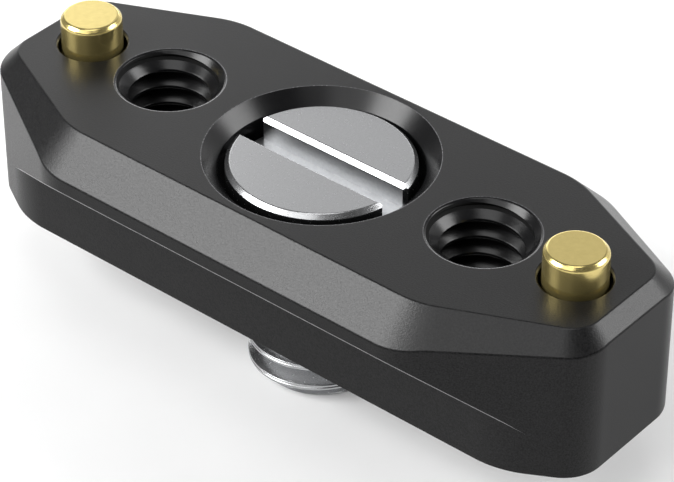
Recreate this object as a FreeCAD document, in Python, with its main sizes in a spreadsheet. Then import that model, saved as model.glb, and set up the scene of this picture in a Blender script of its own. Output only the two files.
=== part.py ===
import FreeCAD, Part
import math
import os
import Sketcher

# Camera accessory rail. A block with a dovetail along both long sides carries a captive slotted screw
# in its middle, a tapped hole on each side of it and a sprung locking pin near each end.
# Millimetres. +X runs along the rail, +Y across it and +Z up out of its crown. The origin lies on the
# screw's axis, in the plane of the underside that seats on the camera.

SIZES = [
    ("rail_length", 47.8, "from end face to end face"),
    ("rail_width", 20.4, "across the widest part of the dovetail"),
    ("rail_height", 10.3, "from the underside to the crown's flat"),
    ("taper_length", 10.02, "how far a plan chamfer runs along the rail"),
    ("taper_width", 5.67, "how far a plan chamfer runs across the rail"),
    ("side_radius", 5.0, "rounding where a long side meets a plan chamfer"),
    ("end_radius", 2.8, "rounding where an end face meets a plan chamfer"),
    ("side_bevel", 2.3, "bevel between the crown's flat and a long side"),
    ("end_bevel", 1.0, "bevel between the crown's flat and an end face"),
    ("taper_bevel_slope", 1.0, "fall of a plan chamfer's bevel for each millimetre outward"),
    ("crown_side_lead", 0.05, "how far the flat's long side outruns the block's at each end"),
    ("crown_end_inset", 0.78, "how much shorter than the end face the flat's end is at each corner"),
    ("crown_side_radius", 6.0, "rounding of the flat's corners at its long side"),
    ("crown_end_radius", 2.0, "rounding of the flat's corners at its end"),
    ("lip_depth", 3.25, "from the crown's flat down to the dovetail's lower lip"),
    ("undercut_depth", 3.15, "from the dovetail's lip in to the waist, and the fall of its slope"),
    ("waist_radius", 6.5, "rounding where the waist meets a plan chamfer"),
    ("head_diameter", 12.0, "head of the mounting screw"),
    ("head_height", 3.6, "head of the mounting screw"),
    ("head_depth", 0.4, "from the crown's flat down to the head's top"),
    ("head_rim", 0.3, "bevel round the head"),
    ("head_clearance", 0.45, "radial gap between the head and its recess"),
    ("recess_chamfer", 0.97, "bevel round the mouth of the recess"),
    ("slot_width", 2.0, "slot for a screwdriver or a coin"),
    ("slot_depth", 1.65, "slot below the head's top"),
    ("slot_rim", 0.3, "bevel along the slot's edges and at its open ends"),
    ("thread_diameter", 9.525, "three eighths of an inch"),
    ("thread_length", 5.7, "how far the screw stands out of the underside"),
    ("thread_chamfer", 0.8, "bevel at the thread's end"),
    ("collar_bite", 0.72, "how deep the collar, which the thread is screwed through, reaches into it"),
    ("neck_clearance", 0.35, "radial gap between the screw's neck and the collar"),
    ("relief_margin", 0.54, "radial gap between the thread and the collar's bevelled mouth"),
    ("tapped_diameter", 5.13, "core of the quarter inch thread"),
    ("tapped_chamfer", 0.935, "countersink in the crown's flat"),
    ("tapped_break", 0.4, "broken edge of a tapped hole in the underside"),
    ("tapped_to_pin", 6.8, "from a tapped hole to the locking pin beside it"),
    ("pin_inset", 4.5, "from an end face to its locking pin"),
    ("pin_diameter", 4.0, "tip of a locking pin"),
    ("pin_height", 2.1, "how far a pin stands out of the crown"),
    ("pin_rim", 0.2, "bevel round a pin's tip"),
    ("pin_clearance", 0.35, "radial gap between a pin and its hole in the crown"),
    ("shoulder_depth", 2.6, "from the crown's flat down to the shoulder that stops a pin"),
    ("flange_width", 0.93, "how far a pin's flange stands out all round"),
    ("flange_thickness", 1.2, "flange that stops a pin under the shoulder"),
    ("flange_clearance", 0.07, "radial play of a pin's flange in its bore"),
    ("guide_clearance", 0.6, "radial gap between a pin's stem and the spring round it"),
    ("guide_margin", 0.3, "left under the stem when its pin is pressed flush"),
    ("wire_diameter", 0.5, "spring wire"),
    ("spring_turns", 3.0, "turns of a spring"),
    ("spring_clearance", 0.3, "radial gap between a spring and its bore"),
    ("spring_seat_gap", 0.05, "play between a spring's end and its seat"),
    ("plug_thickness", 1.4, "plug that closes a pin's bore"),
    ("plug_recess", 0.4, "how deep a plug sits in the underside"),
    ("plug_gap", 0.02, "radial gap filled by the retaining compound"),
    ("plug_rim", 0.25, "bevel round a plug"),
    ("overrun", 1.0, "how far a cut runs past the face it starts from"),
]

FULL_TURN = 360
COUNTERSINK_ANGLE = 90
COINCIDENT = 1e-6


class Size:
    """A length together with the sheet expression that ties it to the driving dimensions."""

    def __init__(self, text, value):
        self.text = text
        self.value = value

    def join(self, other, sign, work):
        other = other if isinstance(other, Size) else Size(str(other), other)
        return Size(f"({self.text} {sign} {other.text})", work(self.value, other.value))

    def __add__(self, other):
        return self.join(other, "+", lambda a, b: a + b)

    def __sub__(self, other):
        return self.join(other, "-", lambda a, b: a - b)

    def __mul__(self, other):
        return self.join(other, "*", lambda a, b: a * b)

    def __truediv__(self, other):
        return self.join(other, "/", lambda a, b: a / b)

    def __neg__(self):
        return self * -1

    def root(self):
        return Size(f"sqrt({self.text})", math.sqrt(self.value))


AXIS = Size("0", 0.0)


def write_sheet(doc):
    """Writes the driving dimensions and returns the heights and radii that several pieces share."""
    sheet = doc.addObject("Spreadsheet::Sheet", "Sizes")
    for row, (alias, value, note) in enumerate(SIZES, start=1):
        sheet.set(f"A{row}", alias)
        sheet.set(f"B{row}", str(value))
        sheet.set(f"C{row}", note)
        sheet.setAlias(f"B{row}", alias)
    doc.recompute()
    s = {alias: Size(f"Sizes.{alias}", float(sheet.get(alias))) for alias, _, _ in SIZES}
    s["head_top_z"] = s["rail_height"] - s["head_depth"]
    s["seat_z"] = s["head_top_z"] - s["head_height"]
    s["thread_r"] = s["thread_diameter"] / 2
    s["collar_r"] = s["thread_r"] - s["collar_bite"]
    s["pin_x"] = s["rail_length"] / 2 - s["pin_inset"]
    s["shoulder_z"] = s["rail_height"] - s["shoulder_depth"]
    s["flange_r"] = s["pin_diameter"] / 2 + s["flange_width"]
    s["spring_bore_r"] = s["flange_r"] + s["flange_clearance"]
    s["spring_r"] = s["spring_bore_r"] - s["spring_clearance"]
    s["plug_top_z"] = s["plug_recess"] + s["plug_thickness"]
    return s


def add_body(doc, name):
    body = doc.addObject("PartDesign::Body", name)
    body.Label = name
    return body


def sketch_on(body, plane, name, lift=None):
    """A sketch on one of the body's own origin planes, lifted along the plane's normal."""
    sketch = body.newObject("Sketcher::SketchObject", name)
    base = next(item for item in body.Origin.OriginFeatures if item.Role == plane)
    sketch.AttachmentSupport = (base, [""])
    sketch.MapMode = "FlatFace"
    if lift is not None:
        sketch.setExpression("AttachmentOffset.Base.z", lift.text)
    return sketch


def vector(x, y):
    return FreeCAD.Vector(x.value, y.value, 0)


def constrain(sketch, size, *reference):
    """Adds a dimension and binds it to the sheet."""
    index = sketch.addConstraint(Sketcher.Constraint(*reference, size.value))
    sketch.setExpression(f"Constraints[{index}]", size.text)


def place(sketch, item, end, x, y):
    """Dimensions one point of a sketch from the sketch's origin."""
    for kind, axis, reach in (("DistanceX", -2, x), ("DistanceY", -1, y)):
        if abs(reach.value) < COINCIDENT:
            sketch.addConstraint(Sketcher.Constraint("PointOnObject", item, end, axis))
        elif reach.value > 0:
            constrain(sketch, reach, kind, -1, 1, item, end)
        else:
            constrain(sketch, -reach, kind, item, end, -1, 1)


def polygon(sketch, corners):
    """A closed outline of straight lines through the given corners."""
    first = sketch.GeometryCount
    count = len(corners)
    for i in range(count):
        sketch.addGeometry(Part.LineSegment(vector(*corners[i]), vector(*corners[(i + 1) % count])), False)
    for i in range(count):
        sketch.addConstraint(Sketcher.Constraint("Coincident", first + i, 2, first + (i + 1) % count, 1))
    for i in range(count):
        place(sketch, first + i, 1, *corners[i])


def circle(sketch, x, y, radius):
    item = sketch.addGeometry(Part.Circle(vector(x, y), FreeCAD.Vector(0, 0, 1), radius.value), False)
    place(sketch, item, 3, x, y)
    constrain(sketch, radius, "Radius", item)


def rounded_outline(sketch, corners):
    """A convex outline, anticlockwise, whose sharp corners are dimensioned and rounded by tangent arcs."""
    count = len(corners)
    points = [vector(x, y) for x, y, _ in corners]
    starts, ends, centres = [], [], []
    for i, point in enumerate(points):
        back = (points[i - 1] - point).normalize()
        ahead = (points[(i + 1) % count] - point).normalize()
        half = back.getAngle(ahead) / 2
        radius = corners[i][2].value
        starts.append(point + back * (radius / math.tan(half)))
        ends.append(point + ahead * (radius / math.tan(half)))
        centres.append(point + (back + ahead).normalize() * (radius / math.sin(half)))
    lines = []
    for i in range(count):
        lines.append(sketch.addGeometry(Part.LineSegment(ends[i], starts[(i + 1) % count]), False))
    for i, (x, y, radius) in enumerate(corners):
        turn = [math.atan2(p.y - centres[i].y, p.x - centres[i].x) for p in (starts[i], ends[i])]
        rim = Part.Circle(centres[i], FreeCAD.Vector(0, 0, 1), radius.value)
        arc = sketch.addGeometry(Part.ArcOfCircle(rim, turn[0], turn[1]), False)
        corner = sketch.addGeometry(Part.Point(points[i]), True)
        sketch.addConstraint(Sketcher.Constraint("Tangent", lines[i - 1], 2, arc, 1))
        sketch.addConstraint(Sketcher.Constraint("Tangent", arc, 2, lines[i], 1))
        sketch.addConstraint(Sketcher.Constraint("PointOnObject", corner, 1, lines[i - 1]))
        sketch.addConstraint(Sketcher.Constraint("PointOnObject", corner, 1, lines[i]))
        place(sketch, corner, 1, x, y)
        constrain(sketch, radius, "Radius", arc)


def octagon(sketch, side_corner, end_corner):
    """An elongated octagon. A corner is x, y and rounding, of a long side and of an end in one quarter."""
    right = [end_corner, side_corner]
    upper = right + [(-x, y, radius) for x, y, radius in reversed(right)]
    rounded_outline(sketch, upper + [(-x, -y, radius) for x, y, radius in upper])


def through(body, sketch, name):
    """A pocket right through the body, both ways from its sketch."""
    pocket = body.newObject("PartDesign::Pocket", name)
    pocket.Profile = sketch
    pocket.SideType = "Symmetric"
    pocket.Type = "ThroughAll"
    return pocket


def turned(body, name, corners, kind="PartDesign::Revolution"):
    """A profile in the XZ plane, turned fully about the body's vertical axis."""
    sketch = sketch_on(body, "XZ_Plane", f"{name}_profile")
    polygon(sketch, corners)
    feature = body.newObject(kind, name)
    feature.Profile = sketch
    feature.ReferenceAxis = (sketch, ["V_Axis"])
    feature.Angle = FULL_TURN
    return feature


def edge_names(feature, test):
    return [f"Edge{number}" for number, edge in enumerate(feature.Shape.Edges, start=1) if test(edge)]


def crowned_block(body, s):
    """The block with its rounded plan outline and the bevels that run down from the crown's flat."""
    half_length, half_width = s["rail_length"] / 2, s["rail_width"] / 2
    side_x, end_y = half_length - s["taper_length"], half_width - s["taper_width"]
    flat_x, flat_y = half_length - s["end_bevel"], half_width - s["side_bevel"]
    flat_side_x, flat_end_y = side_x + s["crown_side_lead"], end_y - s["crown_end_inset"]
    drop = s["side_bevel"] + s["overrun"]
    skirt_z = s["rail_height"] - drop

    run, rise = flat_x - flat_side_x, flat_y - flat_end_y
    outward = (run * run + rise * rise).root() * drop / s["taper_bevel_slope"]
    skirt_side_x = flat_side_x + (outward - drop * run) / rise
    skirt_end_y = flat_end_y + (outward - drop * rise) / run

    flat = sketch_on(body, "XY_Plane", "crown_flat", s["rail_height"])
    octagon(flat, (flat_side_x, flat_y, s["crown_side_radius"]), (flat_x, flat_end_y, s["crown_end_radius"]))
    skirt = sketch_on(body, "XY_Plane", "crown_skirt", skirt_z)
    octagon(skirt, (skirt_side_x, flat_y + drop, s["crown_side_radius"] + drop),
            (flat_x + drop, skirt_end_y, s["crown_end_radius"] + drop))
    crown = body.newObject("PartDesign::AdditiveLoft", "crown")
    crown.Profile = flat
    crown.Sections = [(skirt, [""])]
    crown.Ruled = True

    stock = body.newObject("PartDesign::Pad", "stock")
    stock.Profile = skirt
    stock.Reversed = True
    stock.setExpression("Length", skirt_z.text)

    outline = sketch_on(body, "XY_Plane", "plan_outline")
    outer_x, outer_y = flat_x + drop + s["overrun"], flat_y + drop + s["overrun"]
    polygon(outline, [(outer_x, outer_y), (-outer_x, outer_y), (-outer_x, -outer_y), (outer_x, -outer_y)])
    octagon(outline, (side_x, half_width, s["side_radius"]), (half_length, end_y, s["end_radius"]))
    through(body, outline, "trimmed_sides")


def dovetail(body, s):
    """The undercut below the lip of each long side, rounded where it runs out on the plan chamfers."""
    lip_y, lip_z = s["rail_width"] / 2, s["rail_height"] - s["lip_depth"]
    waist_y, outer_y = lip_y - s["undercut_depth"], lip_y + s["overrun"]
    sketch = sketch_on(body, "YZ_Plane", "undercut_profile")
    for side in (1, -1):
        polygon(sketch, [(y * side, z) for y, z in (
            (lip_y, lip_z), (waist_y, lip_z - s["undercut_depth"]), (waist_y, -s["overrun"]),
            (outer_y, -s["overrun"]), (outer_y, lip_z))])
    undercut = through(body, sketch, "undercut")
    body.Document.recompute()

    def is_waist_corner(edge):
        ends = [vertex.Point for vertex in edge.Vertexes]
        return len(ends) == 2 and all(abs(abs(end.y) - waist_y.value) < COINCIDENT for end in ends) and \
            abs(ends[0].x - ends[1].x) < COINCIDENT

    fillet = body.newObject("PartDesign::Fillet", "waist_corners")
    fillet.Base = (undercut, edge_names(undercut, is_waist_corner))
    fillet.setExpression("Radius", s["waist_radius"].text)


def screw_recess(body, s):
    """The bevelled recess for the screw's head, with the seat and the collar that keeps the screw."""
    top, over = s["rail_height"], s["overrun"]
    recess = s["head_diameter"] / 2 + s["head_clearance"]
    mouth = recess + s["recess_chamfer"]
    collar, relief = s["collar_r"], s["thread_r"] + s["relief_margin"]
    turned(body, "screw_recess", [
        (AXIS, -over), (relief + over, -over), (collar, relief - collar), (collar, s["seat_z"]),
        (recess, s["seat_z"]), (recess, top - s["recess_chamfer"]), (mouth + over, top + over),
        (AXIS, top + over)], "PartDesign::Groove")


def hole_pair(body, s, name, x, radius, lift=None):
    """Two equal through holes along Z, mirrored across the rail's middle."""
    sketch = sketch_on(body, "XY_Plane", f"{name}_centres", lift)
    for side in (1, -1):
        circle(sketch, x * side, AXIS, radius)
    body.Document.recompute()
    hole = body.newObject("PartDesign::Hole", name)
    hole.Profile = sketch
    hole.ThreadType = "None"
    hole.DepthType = "ThroughAll"
    hole.setExpression("Diameter", (radius * 2).text)
    return hole


def tapped_holes(body, s):
    """Through holes with countersunk mouths in the crown and broken edges in the underside."""
    radius = s["tapped_diameter"] / 2
    hole = hole_pair(body, s, "tapped_holes", s["pin_x"] - s["tapped_to_pin"], radius, s["rail_height"])
    hole.HoleCutType = "Countersink"
    hole.HoleCutCountersinkAngle = COUNTERSINK_ANGLE
    hole.setExpression("HoleCutDiameter", ((radius + s["tapped_chamfer"]) * 2).text)
    body.Document.recompute()

    def is_lower_rim(edge):
        return edge.BoundBox.ZMax < COINCIDENT and isinstance(edge.Curve, Part.Circle) and \
            abs(edge.Curve.Radius - radius.value) < COINCIDENT

    rims = body.newObject("PartDesign::Chamfer", "tapped_breaks")
    rims.Base = (hole, edge_names(hole, is_lower_rim))
    rims.setExpression("Size", s["tapped_break"].text)


def pin_bores(body, s):
    """Bores from the underside that narrow at the shoulder to the holes in the crown."""
    bore = hole_pair(body, s, "pin_bores", s["pin_x"], s["pin_diameter"] / 2 + s["pin_clearance"])
    bore.Reversed = True
    bore.HoleCutType = "Counterbore"
    bore.setExpression("HoleCutDiameter", (s["spring_bore_r"] * 2).text)
    bore.setExpression("HoleCutDepth", s["shoulder_z"].text)


def rail_body(doc, s):
    body = add_body(doc, "rail_body")
    crowned_block(body, s)
    doc.recompute()
    dovetail(body, s)
    screw_recess(body, s)
    tapped_holes(body, s)
    pin_bores(body, s)


def mounting_screw(doc, s):
    """The slotted screw, whose thread starts at the underside."""
    body = add_body(doc, "mounting_screw")
    top, head, rim = s["head_top_z"], s["head_diameter"] / 2, s["head_rim"]
    thread, neck = s["thread_r"], s["collar_r"] - s["neck_clearance"]
    end, chamfer = -s["thread_length"], s["thread_chamfer"]
    turned(body, "turned_screw", [
        (AXIS, top), (head - rim, top), (head, top - rim), (head, s["seat_z"]), (neck, s["seat_z"]),
        (neck, thread - neck), (thread, AXIS), (thread, end + chamfer), (thread - chamfer, end), (AXIS, end)])

    wall, bevel, over = s["slot_width"] / 2, s["slot_rim"], s["overrun"]
    edge = [(wall, top - s["slot_depth"]), (wall, top - bevel), (wall + bevel + over, top + over)]
    sketch = sketch_on(body, "YZ_Plane", "slot_profile")
    polygon(sketch, edge + [(-y, z) for y, z in reversed(edge)])
    through(body, sketch, "slot")

    mouth = (head * head - wall * wall).root() - bevel
    sketch = sketch_on(body, "XY_Plane", "slot_mouths_plan", top)
    for side in (1, -1):
        polygon(sketch, [(x * side, y * side) for x, y in (
            (mouth, -wall), (head + over, -wall - over - head + mouth),
            (head + over, wall + over + head - mouth), (mouth, wall))])
    mouths = body.newObject("PartDesign::Pocket", "slot_mouths")
    mouths.Profile = sketch
    mouths.setExpression("Length", s["slot_depth"].text)


def locking_pin(doc, s, name, side):
    """A plunger whose flange stops under the shoulder, drawn from that shoulder."""
    body = add_body(doc, name)
    tip, rim, top = s["pin_diameter"] / 2, s["pin_rim"], s["shoulder_depth"] + s["pin_height"]
    flange, under = s["flange_r"], -s["flange_thickness"]
    guide = s["spring_r"] - s["wire_diameter"] - s["guide_clearance"]
    guide_end = s["plug_top_z"] + s["guide_margin"] + s["pin_height"] - s["shoulder_z"]
    turned(body, f"{name}_turned", [
        (AXIS, top), (tip - rim, top), (tip, top - rim), (tip, AXIS), (flange, AXIS), (flange, under),
        (guide, under), (guide, guide_end), (AXIS, guide_end)])
    set_down(body, s["pin_x"] * side, s["shoulder_z"])


def pin_spring(doc, s, name, side):
    """A compression spring between a plug and its pin's flange. The wire's round is drawn six-sided."""
    body = add_body(doc, name)
    wire = s["wire_diameter"] / 2
    half_side, crest = wire / 2, wire * math.sin(math.pi / 3)
    mean, first = s["spring_r"] - wire, wire + s["spring_seat_gap"]
    room = s["shoulder_z"] - s["flange_thickness"] - s["plug_top_z"]
    sketch = sketch_on(body, "XZ_Plane", f"{name}_wire")
    upper = [(wire, AXIS), (half_side, crest), (-half_side, crest)]
    polygon(sketch, [(mean + x, first + z) for x, z in upper + [(-x, -z) for x, z in upper]])
    coil = body.newObject("PartDesign::AdditiveHelix", f"{name}_coil")
    coil.Profile = sketch
    coil.ReferenceAxis = (sketch, ["V_Axis"])
    coil.Mode = "height-turns-angle"
    coil.setExpression("Height", (room - first * 2).text)
    coil.setExpression("Turns", s["spring_turns"].text)
    coil.Angle = 0
    set_down(body, s["pin_x"] * side, s["plug_top_z"])


def bore_plug(doc, s, name, side):
    """A disc that closes a pin's bore from below."""
    body = add_body(doc, name)
    radius, rim, top = s["spring_bore_r"] - s["plug_gap"], s["plug_rim"], s["plug_thickness"]
    turned(body, f"{name}_turned", [
        (AXIS, AXIS), (radius - rim, AXIS), (radius, rim), (radius, top - rim), (radius - rim, top),
        (AXIS, top)])
    set_down(body, s["pin_x"] * side, s["plug_recess"])


def set_down(body, x, z):
    """Places a body on the rail's long axis, bound to the sheet."""
    body.setExpression("Placement.Base.x", x.text)
    body.setExpression("Placement.Base.z", z.text)


def write_parts(doc):
    failed = [item.Name for item in doc.Objects if "Invalid" in item.State or "Error" in item.State]
    if failed:
        raise RuntimeError(f"failed: {failed}")
    bodies = [item for item in doc.Objects if item.TypeId == "PartDesign::Body"]
    for body in bodies:
        if body.Shape.isNull() or not body.Shape.isValid() or len(body.Shape.Solids) != 1:
            raise RuntimeError(f"{body.Label} is not one valid solid")
    os.makedirs("parts", exist_ok=True)
    for body in bodies:
        body.Shape.exportStep(f"parts/{body.Label}.step")
        print(f"{body.Label}: {body.Shape.Volume:.2f} mm3")


def main():
    doc = FreeCAD.newDocument("camera_rail")
    s = write_sheet(doc)
    rail_body(doc, s)
    mounting_screw(doc, s)
    for word, side in (("left", -1), ("right", 1)):
        locking_pin(doc, s, f"locking_pin_{word}", side)
        pin_spring(doc, s, f"pin_spring_{word}", side)
        bore_plug(doc, s, f"bore_plug_{word}", side)
    doc.recompute()
    write_parts(doc)


main()
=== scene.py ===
import math

import bmesh
import bpy
import numpy as np
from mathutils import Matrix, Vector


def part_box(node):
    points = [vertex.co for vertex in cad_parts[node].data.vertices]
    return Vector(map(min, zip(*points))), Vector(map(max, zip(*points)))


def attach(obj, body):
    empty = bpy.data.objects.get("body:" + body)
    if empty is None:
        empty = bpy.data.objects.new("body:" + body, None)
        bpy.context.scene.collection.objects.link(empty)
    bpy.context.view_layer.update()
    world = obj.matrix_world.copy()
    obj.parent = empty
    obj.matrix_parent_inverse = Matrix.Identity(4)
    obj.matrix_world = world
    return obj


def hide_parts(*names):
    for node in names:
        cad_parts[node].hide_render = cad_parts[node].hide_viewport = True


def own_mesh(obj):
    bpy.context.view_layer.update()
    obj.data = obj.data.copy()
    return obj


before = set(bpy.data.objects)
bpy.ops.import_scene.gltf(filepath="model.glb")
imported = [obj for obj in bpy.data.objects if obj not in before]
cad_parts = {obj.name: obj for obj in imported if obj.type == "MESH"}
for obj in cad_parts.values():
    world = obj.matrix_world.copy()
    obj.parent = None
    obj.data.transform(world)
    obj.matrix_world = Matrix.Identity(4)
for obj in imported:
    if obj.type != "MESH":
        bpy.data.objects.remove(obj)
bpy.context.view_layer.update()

# Dressed model of the camera accessory rail: the anodised block with its threads and broken edges, the
# slotted screw, the brass locking pins and the studio round them. Lengths are millimetres until a mesh
# is made, in the frame of the solids.

MM = 0.001


def corners_mm(node):
    low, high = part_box(node)
    return np.array(low) / MM, np.array(high) / MM


HALF_LENGTH, HALF_WIDTH, TOP = corners_mm("rail_body")[1]
SCREW_LOW, SCREW_HIGH = corners_mm("mounting_screw")
PIN_LOW, PIN_HIGH = corners_mm("locking_pin_right")
SPRING_LOW, SPRING_HIGH = corners_mm("pin_spring_right")

# How far the outer rings of a profile reach beyond its first and last corner
OVERRUN = 1.0

# The block
TAPER_LENGTH, TAPER_WIDTH = 10.02, 5.67
SIDE_RADIUS, END_RADIUS = 5.0, 2.8
SIDE_BEVEL, END_BEVEL, TAPER_BEVEL_SLOPE = 2.3, 1.0, 1.0
CROWN_SIDE_LEAD, CROWN_END_INSET = 0.05, 0.78
CROWN_SIDE_RADIUS, CROWN_END_RADIUS = 6.0, 2.0
CROWN_DROP = SIDE_BEVEL + OVERRUN
LIP_DEPTH, UNDERCUT, WAIST_RADIUS = 3.25, 3.15, 6.5
UNDERCUT_LEAST = 1e-4

# The screw and its recess. The crest's height holds at the crest's azimuth.
HEAD_RADIUS, HEAD_TOP, SEAT = SCREW_HIGH[0], SCREW_HIGH[2], 6.3
RECESS_RADIUS, RECESS_CHAMFER = HEAD_RADIUS + 0.45, 0.97
HEAD_RIM, SLOT_HALF, SLOT_DEPTH, SLOT_RIM = 0.3, 1.0, 1.65, 0.3
FLARE_DEPTH = HEAD_RIM * 0.55
SCREW_RADIUS, SCREW_PITCH, SCREW_END, SCREW_CHAMFER = 4.7625, 1.5875, SCREW_LOW[2], 0.8
THREAD_DEPTH_SHARE = 0.6134
SCREW_CORE = SCREW_RADIUS - THREAD_DEPTH_SHARE * SCREW_PITCH
SCREW_CREST_HALF, SCREW_ROOT_HALF, SCREW_ROUNDING, SCREW_SEAM = 0.18, 0.14, 0.04, 0.05
SCREW_CREST, SCREW_CREST_AZIMUTH = -4.48, -50.0
COLLAR_RADIUS, NECK_RADIUS = SCREW_RADIUS - 0.72, SCREW_RADIUS - 1.07
RELIEF_RADIUS = SCREW_RADIUS + 0.54

# The pins, their bores and their springs
PIN_X, PIN_TOP = (PIN_LOW[0] + PIN_HIGH[0]) / 2, PIN_HIGH[2]
PIN_RADIUS, PIN_RIM, PIN_HOLE_RADIUS, PIN_HOLE_CHAMFER = 2.0, 0.26, 2.35, 0.14
FLANGE_RADIUS, FLANGE_THICKNESS, GUIDE_RADIUS, GUIDE_END = 2.93, 1.2, 1.6, PIN_LOW[2]
SHOULDER, SPRING_BORE_RADIUS = TOP - 2.6, 3.0
CENTRE_RADIUS = 0.5
SPRING_RADIUS, WIRE_RADIUS, SPRING_FOOT = 2.7, 0.25, 1.8
SPRING_TURNS, CLOSED_TURNS = 3.0, 0.75

# The tapped holes. The root's height holds at the root's azimuth, and deep roots take a darker, matt
# anodising as painted shade.
TAPPED_X, TAPPED_CORE, TAPPED_MAJOR, TAPPED_PITCH = PIN_X - 6.8, 2.565, 3.32, 1.27
TAPPED_MOUTH, TAPPED_BREAK, TAPPED_ROOT_SHADE = 3.5, 0.4, 0.18
TAPPED_ROOT, TAPPED_ROOT_AZIMUTH = TOP - 0.39, 130.0
TAPPED_ROOT_HALF, TAPPED_CREST_HALF, TAPPED_ROUNDING = 0.03, 0.09, 0.04

# Broken edges
CROWN_BREAK, WALL_BREAK, LIP_BREAK, BASE_BREAK, MOUTH_BREAK = 0.09, 0.10, 0.07, 0.15, 0.07
# Width and drop of the narrow slope at a hole's rim, which takes the bright metal of a painted highlight
HIGHLIGHT_BAND, HIGHLIGHT_BAND_DROP = 0.05, 0.05 / 6
HEAD_BREAK, HEAD_FOOT_BREAK = 0.07, 0.04
COLLAR_BREAK, FOOT_BREAK, PIN_HOLE_BREAK = 0.1, 0.05, 0.04
PIN_BREAKS = [0.10, 0.12, 0, 0.1, 0.1, 0, 0.15]
BREAK_STEPS, BREAK_SHARE, ROUNDING_SHARE = 3, 0.4, 0.45
SMOOTH_LIMIT = math.cos(math.radians(28))
MERGED, SLIVER = 2e-4, 1e-4

# Sides of the round forms, steps of the head's outline, the threads and the springs, and how the way out
# to the walls is searched
RECESS_SIDES, PIN_HOLE_SIDES, TAPPED_SIDES, SCREW_SIDES, PIN_SIDES = 160, 80, 96, 144, 96
WALL_STEPS, RIM_STEPS, SLOT_END_STEPS = 24, 72, 8
THREAD_STEPS, COIL_STEPS, WIRE_SIDES = 6, 44, 12
SEARCH_END, SEARCH_ROUNDS = 1.6, 40

# Finishes, as places in the materials of the rail and of the screw. Four of them carry painted light: the
# bright highlight edges, the dark thread roots and the less glossy walls of the rail, and the darker slot of
# the screw.
BLASTED, MACHINED, HIGHLIGHT_EDGE, ROOT_SHADE, SHADED_WALL = 0, 1, 2, 3, 4
TURNED, SHADED_SLOT = 0, 1
ANODISING_GLOSS, SHADED_WALL_GLOSS = 0.375, 0.17
PAPER_GLOW = 0.12
FLOOR_SIZE = 4.0

# Lamps: name, direction from the object, distance, width, height and radiance
LAMPS = [
    ("front_left_box", (-0.51, -0.60, 0.61), 0.5, 0.26, 0.26, 11.2),
    ("back_right_box", (0.60, 0.61, 0.51), 0.5, 0.24, 0.24, 7.5),
    ("back_left_box", (-0.51, 0.61, 0.60), 0.26, 0.26, 0.22, 0.50),
    ("far_left_box", (-0.78, 0.45, 0.43), 0.31, 0.14, 0.16, 0.8),
    ("horizon_strip", (-0.62, 0.75, 0.17), 0.6, 0.7, 0.07, 4.5),
    ("zenith_box", (0.15, -0.20, 0.97), 0.5, 0.24, 0.24, 2.6),
    ("front_box", (0.10, -0.70, 0.70), 0.5, 0.28, 0.24, 2.0),
]


class Skin:
    """Vertices and faces of one mesh. A face is part of a surface or of the broken edge between two."""

    def __init__(self):
        self.points, self.faces, self.broken, self.finish = [], [], [], []

    def ring(self, points):
        first = len(self.points)
        self.points.extend(points)
        return list(range(first, len(self.points)))

    def face(self, corners, broken=False, finish=0):
        self.faces.append(corners)
        self.broken.append(broken)
        self.finish.append(finish)

    def bands(self, rings, broken, finish):
        """Quads between successive rings."""
        rows = [self.ring(ring) for ring in rings]
        count = len(rows[0])
        for j in range(len(rows) - 1):
            for i in range(count):
                k = (i + 1) % count
                self.face([rows[j][i], rows[j + 1][i], rows[j + 1][k], rows[j][k]], broken[j], finish[j])
        return rows

    def disc(self, row, centre, up=True):
        """A fan that closes a ring."""
        middle = self.ring([centre])[0]
        for i in range(len(row)):
            a, b = row[i], row[(i + 1) % len(row)]
            self.face([middle, a, b] if up else [middle, b, a])

    def plane(self, rows, finish=0):
        """Fills the plane between an outer ring and the holes in it."""
        flat = bmesh.new()
        verts = {}
        edges = []
        for row in rows:
            for index in row:
                verts[index] = flat.verts.new(self.points[index])
            for i in range(len(row)):
                edges.append(flat.edges.new((verts[row[i]], verts[row[(i + 1) % len(row)]])))
        flat.verts.ensure_lookup_table()
        names = {vert: index for index, vert in verts.items()}
        made = bmesh.ops.triangle_fill(flat, use_beauty=True, use_dissolve=False, edges=edges)
        for face in made["geom"]:
            if isinstance(face, bmesh.types.BMFace):
                self.face([names[vert] for vert in face.verts], False, finish)
        flat.free()

    def build(self, name, materials):
        """Makes the object, with its faces turned outward and its normals set surface by surface."""
        work = bmesh.new()
        verts = [work.verts.new([c * MM for c in point]) for point in self.points]
        kind = work.faces.layers.int.new("broken")
        for corners, broken, finish in zip(self.faces, self.broken, self.finish):
            face = work.faces.new([verts[i] for i in corners])
            face[kind] = int(broken)
            face.material_index = finish
            face.smooth = True
        bmesh.ops.remove_doubles(work, verts=work.verts, dist=MERGED * MM)
        bmesh.ops.dissolve_degenerate(work, edges=work.edges, dist=SLIVER * MM)
        bmesh.ops.recalc_face_normals(work, faces=work.faces)
        work.faces.ensure_lookup_table()
        broken = [face[kind] for face in work.faces]
        mesh = bpy.data.meshes.new(name)
        work.to_mesh(mesh)
        work.free()
        for material in materials:
            mesh.materials.append(material)
        set_normals(mesh, broken)
        piece = bpy.data.objects.new(name, mesh)
        bpy.context.scene.collection.objects.link(piece)
        return piece


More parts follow.
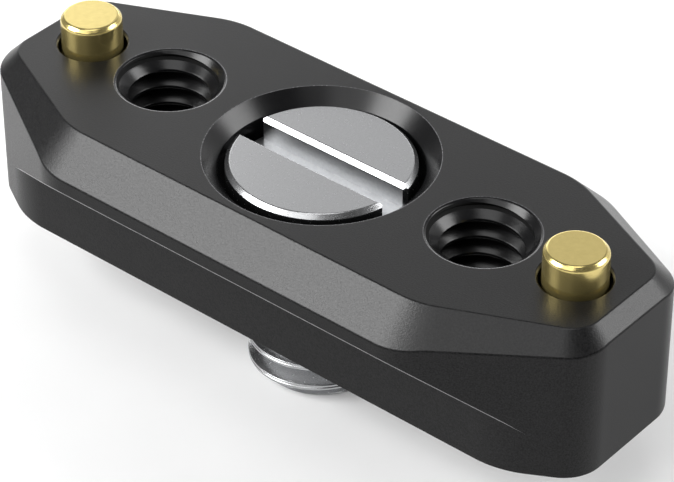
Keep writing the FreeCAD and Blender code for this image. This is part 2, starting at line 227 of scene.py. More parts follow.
def set_normals(mesh, broken):
    """Surfaces keep their own normals right up to a broken edge, which turns from one to the other."""
    normals = np.array([polygon.normal[:] for polygon in mesh.polygons])
    areas = np.array([polygon.area for polygon in mesh.polygons])
    around = [[] for _ in mesh.vertices]
    for polygon in mesh.polygons:
        for vertex in polygon.vertices:
            around[vertex].append(polygon.index)
    result = []
    for polygon in mesh.polygons:
        own = polygon.index
        for vertex in polygon.vertices:
            near = np.array(around[vertex])
            surface = near[[not broken[i] for i in near]]
            if broken[own]:
                chosen = surface if len(surface) else near
            else:
                chosen = surface
            if not broken[own] or not len(surface):
                chosen = chosen[normals[chosen] @ normals[own] > SMOOTH_LIMIT]
            total = (normals[chosen] * areas[chosen, None]).sum(axis=0) if len(chosen) else normals[own]
            result.append(total / max(np.linalg.norm(total), 1e-30))
    mesh.normals_split_custom_set(result)


def softened(line, breaks, finish, highlighted=()):
    """Rounds the corners of a profile. Each entry of the line is a ring of points, and both ends go. The
    corners numbered in the last argument take the bright metal of a painted highlight."""
    rings, broken, finishes = [], [], []
    for j in range(1, len(line) - 1):
        before, here, after = line[j - 1], line[j], line[j + 1]
        back, ahead = before - here, after - here
        back_size = np.linalg.norm(back, axis=1, keepdims=True)
        ahead_size = np.linalg.norm(ahead, axis=1, keepdims=True)
        reach = np.minimum(breaks[j - 1], BREAK_SHARE * np.minimum(back_size, ahead_size))
        start = here + back / np.maximum(back_size, 1e-9) * reach
        end = here + ahead / np.maximum(ahead_size, 1e-9) * reach
        steps = BREAK_STEPS if breaks[j - 1] > 0 else 0
        if rings:
            broken.append(False)
            finishes.append(finish[j - 2])
        for step in range(steps + 1):
            t = step / steps if steps else 0.5
            rings.append(start * (1 - t) ** 2 + here * 2 * t * (1 - t) + end * t ** 2 if steps else here)
            if step:
                broken.append(True)
                finishes.append(HIGHLIGHT_EDGE if j - 1 in highlighted else finish[min(j - 1, len(finish) - 1)])
    return rings, broken, finishes


def revolved(profile, centre_x, count):
    """Rings of a turned profile of radius and height."""
    angle = np.linspace(0, 2 * math.pi, count, endpoint=False)
    return [np.stack([centre_x + r * np.cos(angle), r * np.sin(angle), np.full(count, z)], axis=1)
            for r, z in profile]


class Octagon:
    """The elongated octagon with rounded corners, walked anticlockwise by stations."""

    LINE_STEPS = {"end": 12, "taper": 22, "side": 44}
    ARC_STEPS = {"end": 16, "side": 14}

    def __init__(self, side, end, side_radius, end_radius):
        upper = [(end, "end"), (side, "side"), ((-side[0], side[1]), "side"), ((-end[0], end[1]), "end")]
        lower = [((-x, -y), kind) for (x, y), kind in upper]
        self.kinds = [kind for _, kind in upper + lower]
        self.corners = np.array([corner for corner, _ in upper + lower])
        self.radii = [side_radius if kind == "side" else end_radius for kind in self.kinds]
        self.arcs = [self.arc(i) for i in range(len(self.corners))]

    def arc(self, i):
        """Centre, radius, first angle and sweep of a corner's rounding."""
        corner = self.corners[i]
        back = self.corners[i - 1] - corner
        ahead = self.corners[(i + 1) % len(self.corners)] - corner
        back, ahead = back / np.linalg.norm(back), ahead / np.linalg.norm(ahead)
        half = math.acos(np.clip(back @ ahead, -1, 1)) / 2
        middle = (back + ahead) / np.linalg.norm(back + ahead)
        centre = corner + middle * self.radii[i] / math.sin(half)
        outward = math.atan2(-middle[1], -middle[0])
        sweep = math.pi - 2 * half
        return centre, self.radii[i], outward - sweep / 2, sweep

    def stations(self):
        points = []
        count = len(self.arcs)
        for i in range(count):
            centre, radius, first, sweep = self.arcs[i]
            steps = self.ARC_STEPS[self.kinds[i]]
            for step in range(steps + 1):
                turn = first + sweep * step / steps
                points.append(centre + radius * np.array([math.cos(turn), math.sin(turn)]))
            centre, radius, first, _ = self.arcs[(i + 1) % count]
            start, end = points[-1], centre + radius * np.array([math.cos(first), math.sin(first)])
            kinds = {self.kinds[i], self.kinds[(i + 1) % count]}
            steps = self.LINE_STEPS["taper" if len(kinds) == 2 else kinds.pop()]
            for step in range(1, steps):
                points.append(start + (end - start) * step / steps)
        return np.array(points)

    def outside(self, point):
        """How far a point lies outside the outline, negative inside."""
        for centre, radius, first, sweep in self.arcs:
            arm = point - centre
            turn = (math.atan2(arm[1], arm[0]) - first) % (2 * math.pi)
            if turn <= sweep and arm @ arm > 1e-12:
                return math.hypot(*arm) - radius
        gaps = []
        for i, corner in enumerate(self.corners):
            along = self.corners[(i + 1) % len(self.corners)] - corner
            normal = np.array([along[1], -along[0]]) / np.linalg.norm(along)
            gaps.append((point - corner) @ normal)
        return max(gaps)


def crossing(outline, inner, outer):
    """How far along the way from inner to outer the outline is met, as a fraction that may pass 1."""
    low, high = 0.0, SEARCH_END
    for _ in range(SEARCH_ROUNDS):
        middle = (low + high) / 2
        if outline.outside(inner + (outer - inner) * middle) < 0:
            low = middle
        else:
            high = middle
    return low


def block_outlines():
    """Rings of the block's flank, from the crown's flat down to the underside, and the ring inside it."""
    side = (HALF_LENGTH - TAPER_LENGTH, HALF_WIDTH)
    end = (HALF_LENGTH, HALF_WIDTH - TAPER_WIDTH)
    walls = Octagon(side, end, SIDE_RADIUS, END_RADIUS)
    flat_side = (side[0] + CROWN_SIDE_LEAD, HALF_WIDTH - SIDE_BEVEL)
    flat_end = (HALF_LENGTH - END_BEVEL, end[1] - CROWN_END_INSET)
    run, rise = flat_end[0] - flat_side[0], flat_side[1] - flat_end[1]
    outward = math.hypot(run, rise) * CROWN_DROP / TAPER_BEVEL_SLOPE
    skirt_side = (flat_side[0] + (outward - CROWN_DROP * run) / rise, flat_side[1] + CROWN_DROP)
    skirt_end = (flat_end[0] + CROWN_DROP, flat_end[1] + (outward - CROWN_DROP * rise) / run)
    flat = Octagon(flat_side, flat_end, CROWN_SIDE_RADIUS, CROWN_END_RADIUS).stations()
    skirt = Octagon(skirt_side, skirt_end, CROWN_SIDE_RADIUS + CROWN_DROP,
                    CROWN_END_RADIUS + CROWN_DROP).stations()

    waist_y = HALF_WIDTH - UNDERCUT
    waist_x = side[0] + UNDERCUT * TAPER_LENGTH / TAPER_WIDTH
    base = Octagon((waist_x, waist_y), end, WAIST_RADIUS, END_RADIUS)
    rings = [[], [], [], [], []]
    for inner, outer in zip(flat, skirt):
        share = crossing(walls, inner, outer)
        x, y = inner + (outer - inner) * share
        rings[0].append((*inner, TOP))
        rings[1].append((x, y, TOP - CROWN_DROP * share))
        foot_y = math.copysign(min(abs(y), base_reach(base, abs(x), waist_y)), y)
        undercut = abs(y) - abs(foot_y) > UNDERCUT_LEAST
        slope_end = base.arcs[1][0][1] + WAIST_RADIUS * math.cos(base.arcs[1][3])
        lip_z = TOP - LIP_DEPTH - (HALF_WIDTH - (abs(y) if undercut else slope_end))
        foot_z = TOP - LIP_DEPTH - (HALF_WIDTH - (abs(foot_y) if undercut else slope_end))
        rings[2].append((x, y, lip_z))
        rings[3].append((x, foot_y, foot_z))
        rings[4].append((x, foot_y, 0.0))
    return [np.array(ring) for ring in rings]


def base_reach(base, x, waist_y):
    """Half the underside's width at x, along its rounded waist corner."""
    centre, radius, first, sweep = base.arcs[1]
    if x <= centre[0] + radius * math.cos(first + sweep):
        return waist_y
    if x <= centre[0] + radius * math.cos(first):
        return centre[1] + math.sqrt(radius ** 2 - (x - centre[0]) ** 2)
    return math.inf


def plan_inward(ring):
    """Inward normals of a closed ring in plan."""
    along = np.roll(ring, -1, axis=0) - np.roll(ring, 1, axis=0)
    normal = np.stack([-along[:, 1], along[:, 0], np.zeros(len(ring))], axis=1)
    return normal / np.linalg.norm(normal, axis=1, keepdims=True)


def helix_rows(profile, pitch, low, high, phase_z, phase_azimuth):
    """Heights of a thread's profile points at azimuth zero, from below low to above high."""
    start = phase_z - pitch * phase_azimuth / 360
    first = math.floor((low - start) / pitch) - 2
    last = math.ceil((high - start) / pitch) + 2
    return [(start + turn * pitch + z, r) for turn in range(first, last) for z, r in profile]


def thread_grid(skin, centre_x, rows, pitch, limit, low, high, count, finish, outer):
    """A helical surface between two heights. The limit gives the plain surface that the thread cuts, and
    the finish goes by the thread's radius."""
    columns = []
    for i in range(count + 1):
        turn = 2 * math.pi * i / count
        column = []
        for z, r in rows:
            height = min(max(z + pitch * i / count, low), high)
            bound = limit(height)
            radius = min(r, bound) if outer else max(r, bound)
            if height in (low, high):
                radius = bound
            column.append((centre_x + radius * math.cos(turn), radius * math.sin(turn), height))
        columns.append(skin.ring(column))
    for i in range(count):
        for j in range(len(rows) - 1):
            a, b = columns[i], columns[i + 1]
            heights = {skin.points[k][2] for k in (a[j], a[j + 1], b[j], b[j + 1])}
            if heights != {low} and heights != {high}:
                skin.face([a[j], b[j], b[j + 1], a[j + 1]], False, finish((rows[j][1] + rows[j + 1][1]) / 2))


def rounded(corners, reach, longest):
    """A profile with its inner corners rounded and its long stretches divided."""
    corners = [np.array(corner) for corner in corners]
    points = [corners[0]]
    for before, here, after in zip(corners, corners[1:], corners[2:]):
        back, ahead = before - here, after - here
        start = here + back * min(reach / np.linalg.norm(back), ROUNDING_SHARE)
        end = here + ahead * min(reach / np.linalg.norm(ahead), ROUNDING_SHARE)
        for step in range(BREAK_STEPS + 1):
            t = step / BREAK_STEPS
            points.append(start * (1 - t) ** 2 + here * 2 * t * (1 - t) + end * t ** 2)
    points.append(corners[-1])
    divided = []
    for start, end in zip(points, points[1:]):
        steps = math.ceil(np.linalg.norm(end - start) / longest)
        divided += [tuple(start + (end - start) * k / steps) for k in range(steps)]
    return divided


def thread_profile(pitch, half_first, half_second, first, second, reach, seam=0.0):
    """One pitch of a thread, upward from the middle of the flat at the first radius, where rolling may
    leave a shallow seam."""
    turn = pitch / 2
    corners = [(0, first - seam), (half_first, first), (turn - half_second, second),
               (turn + half_second, second), (pitch - half_first, first), (pitch, first - seam)]
    if seam:
        corners[1:1] = [(seam, first)]
        corners[-1:-1] = [(pitch - seam, first)]
    return rounded(corners, reach, pitch / THREAD_STEPS)


def rail_piece(materials):
    """The block, with its recess, pin holes and tapped holes."""
    skin = Skin()
    flank = block_outlines()
    crown_in = flank[0] + plan_inward(flank[0])
    base_in = flank[4] + plan_inward(flank[4])
    breaks = [CROWN_BREAK, WALL_BREAK, LIP_BREAK, 0, BASE_BREAK]
    finish = [BLASTED, SHADED_WALL, SHADED_WALL, SHADED_WALL, SHADED_WALL]
    # The lip's break takes the bright metal of a painted highlight.
    rings, broken, finish = softened([crown_in, *flank, base_in], breaks, finish, highlighted=[2])
    rows = skin.bands(rings, broken, finish)
    crown, base = [rows[0]], [rows[-1]]

    mouth = RECESS_RADIUS + RECESS_CHAMFER
    profile = [(mouth + OVERRUN, TOP), (mouth + HIGHLIGHT_BAND, TOP), (mouth, TOP - HIGHLIGHT_BAND_DROP),
               (RECESS_RADIUS, TOP - RECESS_CHAMFER), (RECESS_RADIUS, SEAT),
               (COLLAR_RADIUS, SEAT), (COLLAR_RADIUS, RELIEF_RADIUS - COLLAR_RADIUS), (RELIEF_RADIUS, 0),
               (RELIEF_RADIUS + OVERRUN, 0)]
    breaks = [0, 0, MOUTH_BREAK, 0, COLLAR_BREAK, 0, FOOT_BREAK]
    # The narrow slope at the recess rim takes the bright metal of a painted highlight.
    rings, broken, finish = softened(revolved(profile, 0, RECESS_SIDES), breaks, [HIGHLIGHT_EDGE] + [MACHINED] * 6)
    rows = skin.bands(rings, broken, finish)
    crown.append(rows[0])
    base.append(rows[-1])

    for side in (-1, 1):
        x = PIN_X * side
        bore = PIN_HOLE_RADIUS - PIN_HOLE_CHAMFER
        profile = [(PIN_HOLE_RADIUS + OVERRUN, TOP), (PIN_HOLE_RADIUS, TOP), (bore, TOP - PIN_HOLE_CHAMFER),
                   (bore, SHOULDER), (SPRING_BORE_RADIUS, SHOULDER), (SPRING_BORE_RADIUS, 0),
                   (SPRING_BORE_RADIUS + OVERRUN, 0)]
        breaks = [PIN_HOLE_BREAK, PIN_HOLE_BREAK, 0, 0, FOOT_BREAK]
        rings, broken, finish = softened(revolved(profile, x, PIN_HOLE_SIDES), breaks, [MACHINED] * 5)
        rows = skin.bands(rings, broken, finish)
        crown.append(rows[0])
        base.append(rows[-1])

        x = TAPPED_X * side
        low, high = MOUTH_BREAK, TOP - MOUTH_BREAK

        def wall(z):
            return max(TAPPED_CORE, TAPPED_MOUTH - (TOP - z), TAPPED_CORE + TAPPED_BREAK - z)

        # Deep roots take a darker, matt anodising as painted shade.
        def root_shade_finish(radius):
            return ROOT_SHADE if radius > TAPPED_MAJOR - TAPPED_ROOT_SHADE else MACHINED

        profile = thread_profile(TAPPED_PITCH, TAPPED_ROOT_HALF, TAPPED_CREST_HALF, TAPPED_MAJOR, TAPPED_CORE,
                                 TAPPED_ROUNDING)
        rows = helix_rows(profile, TAPPED_PITCH, low, high, TAPPED_ROOT, TAPPED_ROOT_AZIMUTH)
        thread_grid(skin, x, rows, TAPPED_PITCH, wall, low, high, TAPPED_SIDES, root_shade_finish, outer=False)
        # The narrow slope at each mouth, top and bottom, takes the bright metal of a painted highlight.
        for edge, inside, outside, group in ((TOP, high, TAPPED_MOUTH, crown),
                                             (0.0, low, TAPPED_CORE + TAPPED_BREAK, base)):
            profile = [(outside + MOUTH_BREAK + HIGHLIGHT_BAND, edge),
                       (outside + MOUTH_BREAK, (edge * 7 + inside) / 8),
                       (outside + MOUTH_BREAK * 0.2, (edge * 5 + inside * 3) / 8), (wall(inside), inside)]
            group.append(skin.bands(revolved(profile, x, TAPPED_SIDES), [True] * 3,
                                    [HIGHLIGHT_EDGE, MACHINED, MACHINED])[0])
    skin.plane(crown, BLASTED)
    skin.plane(base, BLASTED)
    return skin.build("rail", materials)


def plateau(level):
    """Outline, at a level, of the half of the head behind the slot: wall, flared mouth, rim, flared mouth."""
    radius = HEAD_RADIUS - max(level - (HEAD_TOP - HEAD_RIM), 0)
    wall = SLOT_HALF + max(level - (HEAD_TOP - SLOT_RIM), 0)
    mouth = math.sqrt(HEAD_RADIUS ** 2 - SLOT_HALF ** 2) - SLOT_RIM + wall - SLOT_HALF
    room = radius ** 2 - mouth ** 2 - wall ** 2
    if room > 0:
        flare = (math.hypot(mouth + wall, math.sqrt(2 * room)) - mouth - wall) / 2
    else:
        mouth, flare = math.sqrt(radius ** 2 - wall ** 2), 0.0
    turn = math.atan2(wall + flare, mouth + flare)
    angle = np.linspace(turn, math.pi - turn, RIM_STEPS + 1)
    x = np.append(np.linspace(-mouth, mouth, WALL_STEPS + 1), radius * np.cos(angle))
    y = np.append(np.full(WALL_STEPS + 1, wall), radius * np.sin(angle))
    return np.stack([x, y, np.full(len(x), level)], axis=1)


def screw_head(skin):
    """The drum with its slot, as two plateaus on a disc. Returns the seat's outer ring."""
    floor = HEAD_TOP - SLOT_DEPTH
    inside = plateau(HEAD_TOP + OVERRUN) * (1, 1, 0) + (0, 0, HEAD_TOP)
    levels = (HEAD_TOP, HEAD_TOP - FLARE_DEPTH, HEAD_TOP - HEAD_RIM, floor, floor - OVERRUN)
    line = [inside, *(plateau(z) for z in levels)]
    rings, broken, finish = softened(line, [HEAD_BREAK, 0, HEAD_FOOT_BREAK, 0], [TURNED] * 4)
    halves = []
    for side in (1, -1):
        turned = [ring * (side, side, 1) for ring in rings]
        rows = skin.bands(turned, broken, finish)
        last = len(skin.finish) - len(turned[0])
        # The slot's walls take the darker steel of painted shade, as its floor does below.
        skin.finish[last:last + WALL_STEPS] = [SHADED_SLOT] * WALL_STEPS
        skin.disc(rows[0], (0, side * HEAD_RADIUS / 2, HEAD_TOP))
        halves.append((rows[-1][:WALL_STEPS + 1], rows[-1][WALL_STEPS + 1:]))
    (back_wall, back_rim), (front_wall, front_rim) = halves
    tip = skin.points[back_rim[0]]
    turn = math.atan2(tip[1], tip[0])
    ends = []
    for start in (-turn, math.pi - turn):
        angle = np.linspace(start, start + 2 * turn, SLOT_END_STEPS + 1)[1:-1]
        ends.append(skin.ring([(HEAD_RADIUS * math.cos(a), HEAD_RADIUS * math.sin(a), floor) for a in angle]))
    skin.plane([[front_rim[-1], *ends[0], back_rim[0], *reversed(back_wall),
                 back_rim[-1], *ends[1], front_rim[0], *reversed(front_wall)]], SHADED_SLOT)
    drum = [*ends[0], *back_rim, *ends[1], *front_rim]
    seat = skin.ring([(*skin.points[k][:2], SEAT) for k in drum])
    for i in range(len(drum)):
        k = (i + 1) % len(drum)
        skin.face([drum[i], seat[i], seat[k], drum[k]])
    return seat


def screw_piece(materials):
    """The slotted head, the neck that the collar holds, and the thread."""
    skin = Skin()
    seat = screw_head(skin)
    high = SCREW_RADIUS - NECK_RADIUS
    neck = skin.bands(revolved([(NECK_RADIUS, SEAT), (NECK_RADIUS, high)], 0, SCREW_SIDES), [False], [TURNED])
    skin.plane([seat, neck[0]])

    def wall(z):
        return min(SCREW_RADIUS, SCREW_RADIUS - z, SCREW_RADIUS - SCREW_CHAMFER + z - SCREW_END)

    profile = thread_profile(SCREW_PITCH, SCREW_CREST_HALF, SCREW_ROOT_HALF, SCREW_RADIUS, SCREW_CORE,
                             SCREW_ROUNDING, SCREW_SEAM)
    rows = helix_rows(profile, SCREW_PITCH, SCREW_END, high, SCREW_CREST, SCREW_CREST_AZIMUTH)
    thread_grid(skin, 0, rows, SCREW_PITCH, wall, SCREW_END, high, SCREW_SIDES, lambda radius: TURNED,
                outer=True)
    tip = skin.ring(revolved([(wall(SCREW_END), SCREW_END)], 0, SCREW_SIDES)[0])
    skin.disc(tip, (0, 0, SCREW_END), up=False)
    return skin.build("screw", materials)


def pin_piece(name, side, material):
    """A pin's chamfered head, its flange under the shoulder and its guide through the spring."""
    skin = Skin()
    flange_low = SHOULDER - FLANGE_THICKNESS
    profile = [(CENTRE_RADIUS, PIN_TOP), (PIN_RADIUS - PIN_RIM, PIN_TOP), (PIN_RADIUS, PIN_TOP - PIN_RIM),
               (PIN_RADIUS, SHOULDER), (FLANGE_RADIUS, SHOULDER), (FLANGE_RADIUS, flange_low),
               (GUIDE_RADIUS, flange_low), (GUIDE_RADIUS, GUIDE_END), (CENTRE_RADIUS, GUIDE_END)]
    rings, broken, finish = softened(revolved(profile, PIN_X * side, PIN_SIDES), PIN_BREAKS, [0] * 7)
    rows = skin.bands(rings, broken, finish)
    skin.disc(rows[0], (PIN_X * side, 0, PIN_TOP))
    skin.disc(rows[-1], (PIN_X * side, 0, GUIDE_END), up=False)
    return skin.build(name, [material])


def spring_piece(name, side, material):
    """A compression spring of round wire with its end turns laid flat."""
    skin = Skin()
    low, high = SPRING_LOW[2] + WIRE_RADIUS, SPRING_HIGH[2] - WIRE_RADIUS
    mean = SPRING_RADIUS - WIRE_RADIUS
    closed_pitch = 2 * WIRE_RADIUS
    pitch = (high - low - 2 * CLOSED_TURNS * closed_pitch) / SPRING_TURNS
    rings = []
    total = round((SPRING_TURNS + 2 * CLOSED_TURNS) * COIL_STEPS)
    for i in range(total + 1):
        along = i / COIL_STEPS
        centre = low + closed_pitch * min(along, CLOSED_TURNS)
        centre += pitch * min(max(along - CLOSED_TURNS, 0), SPRING_TURNS)
        centre += closed_pitch * max(along - CLOSED_TURNS - SPRING_TURNS, 0)
        turn = 2 * math.pi * along
        ring = []
        for k in range(WIRE_SIDES):
            tilt = 2 * math.pi * k / WIRE_SIDES
            r = mean + WIRE_RADIUS * math.cos(tilt)
            z = centre + WIRE_RADIUS * math.sin(tilt)
            ring.append((PIN_X * side + r * math.cos(turn), r * math.sin(turn), z))
        rings.append(ring)
    rows = skin.bands(rings, [False] * total, [0] * total)
    for row, ring in ((rows[0], rings[0]), (rows[-1], rings[-1])):
        skin.disc(row, tuple(np.mean(ring, axis=0)))
    return skin.build(name, [material])


class Shader:
    """A material with a Principled surface and short ways to add nodes."""

    def __init__(self, name, base, roughness, metallic=0.0, **sockets):
        self.material = bpy.data.materials.new(name)
        self.material.use_nodes = True
        self.tree = self.material.node_tree
        self.surface = self.tree.nodes["Principled BSDF"]
        self.surface.inputs["Base Color"].default_value = (*base, 1)
        self.surface.inputs["Roughness"].default_value = roughness
        self.surface.inputs["Metallic"].default_value = metallic
        for socket, value in sockets.items():
            self.surface.inputs[socket.replace("_", " ")].default_value = value
        self.place = self.node("ShaderNodeTexCoord").outputs["Object"]

    def node(self, kind, **settings):
        node = self.tree.nodes.new(kind)
        for key, value in settings.items():
            setattr(node, key, value)
        return node

    def link(self, source, target):
        self.tree.links.new(source, target)

    def noise(self, size_mm, detail=2.0, stretch=(1, 1, 1)):
        mapping = self.node("ShaderNodeMapping")
        mapping.inputs["Scale"].default_value = [s / (size_mm * MM) for s in stretch]
        self.link(self.place, mapping.inputs["Vector"])
        noise = self.node("ShaderNodeTexNoise")
        noise.inputs["Scale"].default_value = 1.0
        noise.inputs["Detail"].default_value = detail
        self.link(mapping.outputs["Vector"], noise.inputs["Vector"])
        return noise.outputs["Fac"]

    def remap(self, value, low, high):
        remap = self.node("ShaderNodeMapRange")
        remap.inputs["From Min"].default_value = 0.3
        remap.inputs["From Max"].default_value = 0.7
        remap.inputs["To Min"].default_value = low
        remap.inputs["To Max"].default_value = high
        self.link(value, remap.inputs["Value"])
        return remap.outputs["Result"]

    def colours(self, value, dark, light):
        ramp = self.node("ShaderNodeValToRGB")
        ramp.color_ramp.elements[0].position = 0.3
        ramp.color_ramp.elements[0].color = (*dark, 1)
        ramp.color_ramp.elements[1].position = 0.7
        ramp.color_ramp.elements[1].color = (*light, 1)
        self.link(value, ramp.inputs["Fac"])
        self.link(ramp.outputs["Color"], self.surface.inputs["Base Color"])

    def roughness(self, value, low, high):
        self.link(self.remap(value, low, high), self.surface.inputs["Roughness"])

    def sum_of(self, first, second):
        """The sum of two values, at most 1."""
        total = self.node("ShaderNodeMath", operation="ADD", use_clamp=True)
        self.link(first, total.inputs[0])
        self.link(second, total.inputs[1])
        return total.outputs[0]

    def bump(self, value, height_mm):
        bump = self.node("ShaderNodeBump")
        bump.inputs["Strength"].default_value = 1.0
        bump.inputs["Distance"].default_value = height_mm * MM
        self.link(value, bump.inputs["Height"])
        self.link(bump.outputs["Normal"], self.surface.inputs["Normal"])


def blasted_anodising(name, gloss):
    """The blasted skin. The walls take a copy with less gloss, which renders them darker than the top as
    painted shade.
    """
    shader = Shader(name, (0.008, 0.008, 0.0085), 0.34, Specular_IOR_Level=gloss)
    shader.colours(shader.noise(0.1, 2), (0.002, 0.002, 0.0022), (0.013, 0.013, 0.0135))
    shader.roughness(shader.noise(0.1, 2), 0.29, 0.39)
    shader.bump(shader.noise(0.1, 2), 0.009)
    return shader.material


def machined_anodising():
    shader = Shader("machined_anodising", (0.005, 0.005, 0.0055), 0.25, Specular_IOR_Level=ANODISING_GLOSS)
    shader.colours(shader.noise(0.3, 2), (0.004, 0.004, 0.0045), (0.006, 0.006, 0.0065))
    shader.roughness(shader.noise(0.25, 3, (1, 1, 6)), 0.23, 0.27)
    shader.bump(shader.noise(0.05, 2, (0.2, 0.2, 3)), 0.0004)
    return shader.material


def root_shade_anodising():
    """The deep roots of the tapped threads, darker and matt, as painted shade."""
    shader = Shader("root_shade_anodising", (0.003, 0.003, 0.003), 0.6, Specular_IOR_Level=0.1)
    shader.colours(shader.noise(0.2, 2), (0.002, 0.002, 0.002), (0.005, 0.005, 0.005))
    shader.roughness(shader.noise(0.2, 2), 0.55, 0.65)
    return shader.material


def painted_highlight_edge():
    """Bright metal on the lip and at the hole mouths, as a painted highlight along these edges."""
    shader = Shader("painted_highlight_edge", (0.20, 0.20, 0.205), 0.25, 1.0)
    shader.colours(shader.noise(0.4, 3), (0.17, 0.17, 0.175), (0.23, 0.23, 0.235))
    shader.roughness(shader.noise(0.2, 2), 0.22, 0.30)
    shader.bump(shader.noise(0.1, 2), 0.0003)
    return shader.material


def shaded_slot_steel():
    """The slot, rougher than the turned face, in a darker steel that paints shade into the slot."""
    shader = Shader("shaded_slot_steel", (0.33, 0.334, 0.34), 0.33, 1.0)
    shader.colours(shader.noise(0.2, 3), (0.31, 0.314, 0.32), (0.35, 0.354, 0.36))
    shader.roughness(shader.noise(0.3, 2, (0.3, 1, 1)), 0.31, 0.35)
    shader.bump(shader.noise(0.1, 2, (0.1, 1, 1)), 0.0003)
    return shader.material


def screw_steel():
    shader = Shader("screw_steel", (0.47, 0.475, 0.483), 0.26, 1.0)
    shader.colours(shader.noise(0.15, 3), (0.455, 0.46, 0.468), (0.485, 0.49, 0.498))
    shader.roughness(shader.noise(0.2, 3), 0.245, 0.275)
    shader.bump(shader.noise(0.12, 1), 0.0001)
    return shader.material


def pin_brass():
    shader = Shader("pin_brass", (0.69, 0.56, 0.215), 0.2, 0.85)
    shader.colours(shader.noise(0.3, 2), (0.67, 0.543, 0.205), (0.71, 0.577, 0.225))
    shader.roughness(shader.noise(0.2, 3, (1, 1, 5)), 0.18, 0.22)
    shader.bump(shader.noise(0.06, 2, (0.3, 0.3, 3)), 0.0002)
    return shader.material


def spring_wire():
    shader = Shader("spring_wire", (0.5, 0.5, 0.51), 0.3, 1.0)
    shader.colours(shader.noise(0.3, 2), (0.44, 0.44, 0.45), (0.54, 0.54, 0.55))
    shader.roughness(shader.noise(0.2, 2), 0.25, 0.4)
    shader.bump(shader.noise(0.1, 2, (1, 1, 4)), 0.0006)
    return shader.material


def paper_floor():
    """Pale paper. What looks straight at it, or at its reflection, sees a little of the white behind it."""
    shader = Shader("paper_floor", (0.86, 0.86, 0.86), 0.9)
    shader.colours(shader.noise(6, 2), (0.85, 0.85, 0.85), (0.87, 0.87, 0.87))
    path = shader.node("ShaderNodeLightPath")
    seen = shader.sum_of(path.outputs["Is Camera Ray"], path.outputs["Is Glossy Ray"])
    seen = shader.sum_of(seen, path.outputs["Is Transmission Ray"])
    glow = shader.node("ShaderNodeMath", operation="MULTIPLY")
    glow.inputs[1].default_value = PAPER_GLOW
    shader.link(seen, glow.inputs[0])
    shader.surface.inputs["Emission Color"].default_value = (1, 1, 1, 1)
    shader.link(glow.outputs[0], shader.surface.inputs["Emission Strength"])
    return shader.material


def dress():
    blasted, machined = blasted_anodising("blasted_anodising", ANODISING_GLOSS), machined_anodising()
    # The walls take a less glossy copy of the blasted anodising, which paints shade on them.
    wall = blasted_anodising("shaded_wall_anodising", SHADED_WALL_GLOSS)
    rail = rail_piece([blasted, machined, painted_highlight_edge(), root_shade_anodising(), wall])
    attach(rail, "rail")
    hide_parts("rail_body")
    screw = screw_piece([screw_steel(), shaded_slot_steel()])
    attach(screw, "screw")
    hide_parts("mounting_screw")
    brass = pin_brass()
    for word, side in (("left", -1), ("right", 1)):
        pin = pin_piece(f"pin_{word}_visual", side, brass)
        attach(pin, f"pin_{word}")
        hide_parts(f"locking_pin_{word}")
    wire = spring_wire()
    for word, side in (("left", -1), ("right", 1)):
        spring = spring_piece(f"spring_{word}_visual", side, wire)
        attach(spring, "rail")
        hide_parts(f"pin_spring_{word}")
        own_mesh(spring)
        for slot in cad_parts[f"bore_plug_{word}"].material_slots:
            slot.material = machined


def lay_floor():
    """A sheet of paper that the screw's end stands on."""
    mesh = bpy.data.meshes.new("floor")
    half = FLOOR_SIZE / 2
    corners = [(-half, -half, 0), (half, -half, 0), (half, half, 0), (-half, half, 0)]
    mesh.from_pydata(corners, [], [(0, 1, 2, 3)])
    mesh.materials.append(paper_floor())
    floor = bpy.data.objects.new("floor", mesh)
    floor.location = (0, 0, SCREW_END * MM)
    bpy.context.scene.collection.objects.link(floor)


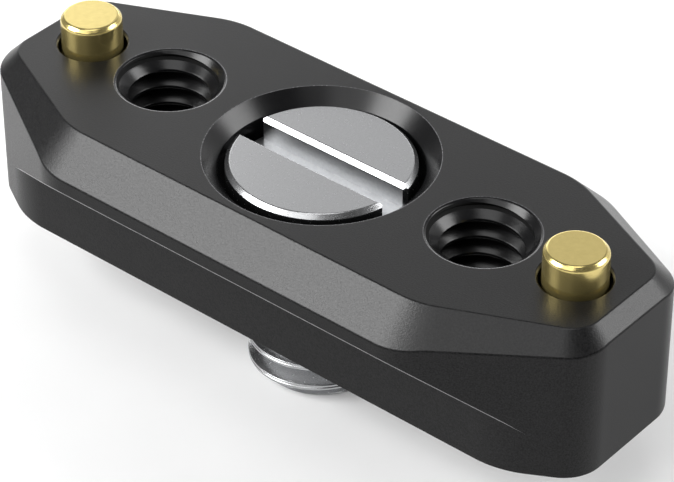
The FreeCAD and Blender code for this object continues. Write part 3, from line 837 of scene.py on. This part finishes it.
def softbox(name, towards, distance, width, height, radiance):
    """A rectangular lamp that faces the object from the given direction."""
    lamp = bpy.data.lights.new(name, "AREA")
    lamp.shape = "RECTANGLE"
    lamp.size, lamp.size_y = width, height
    lamp.energy = radiance * math.pi * width * height
    box = bpy.data.objects.new(name, lamp)
    direction = np.array(towards) / np.linalg.norm(towards)
    box.location = direction * distance
    box.rotation_euler = (math.acos(direction[2]), 0, math.atan2(direction[1], direction[0]) + math.pi / 2)
    box.visible_camera = False
    bpy.context.scene.collection.objects.link(box)


def studio_world():
    """Soft room light: bright along the horizon at the back, falling off to the front and overhead."""
    world = bpy.data.worlds.new("studio")
    world.use_nodes = True
    tree = world.node_tree
    nodes, links = tree.nodes, tree.links
    towards = nodes.new("ShaderNodeTexCoord").outputs["Generated"]
    split = nodes.new("ShaderNodeSeparateXYZ")
    links.new(towards, split.inputs[0])
    height = nodes.new("ShaderNodeValToRGB")
    ramp = height.color_ramp
    ramp.elements.new(0.25)
    ramp.elements.new(0.6)
    for element, level in zip(ramp.elements, (1.0, 0.7, 0.16, 0.10)):
        element.color = (level, level, level, 1)
    links.new(split.outputs["Z"], height.inputs["Fac"])
    facing = nodes.new("ShaderNodeVectorMath")
    facing.operation = "DOT_PRODUCT"
    facing.inputs[1].default_value = (0.1, 0.995, 0)
    links.new(towards, facing.inputs[0])
    side = nodes.new("ShaderNodeMapRange")
    side.interpolation_type = "SMOOTHSTEP"
    side.inputs["From Min"].default_value = -0.2
    side.inputs["From Max"].default_value = 0.8
    side.inputs["To Min"].default_value = 0.25
    side.inputs["To Max"].default_value = 1.0
    links.new(facing.outputs["Value"], side.inputs["Value"])
    background = nodes["Background"]
    links.new(height.outputs["Color"], background.inputs["Color"])
    links.new(side.outputs["Result"], background.inputs["Strength"])
    bpy.context.scene.world = world


def studio():
    lay_floor()
    for lamp in LAMPS:
        softbox(*lamp)
    studio_world()
    bpy.context.scene.view_settings.view_transform = "Standard"


def photo_camera():
    camera = bpy.data.cameras.new("camera")
    camera.sensor_width = 36.0
    camera.lens = 169.11
    camera.clip_start, camera.clip_end = 0.01, 10.0
    eye = bpy.data.objects.new("camera", camera)
    eye.location = (0.10299, -0.12120, 0.12279)
    eye.rotation_euler = (0.9275, 0.0, 0.6984)
    bpy.context.scene.collection.objects.link(eye)
    bpy.context.scene.camera = eye


dress()
studio()
photo_camera()
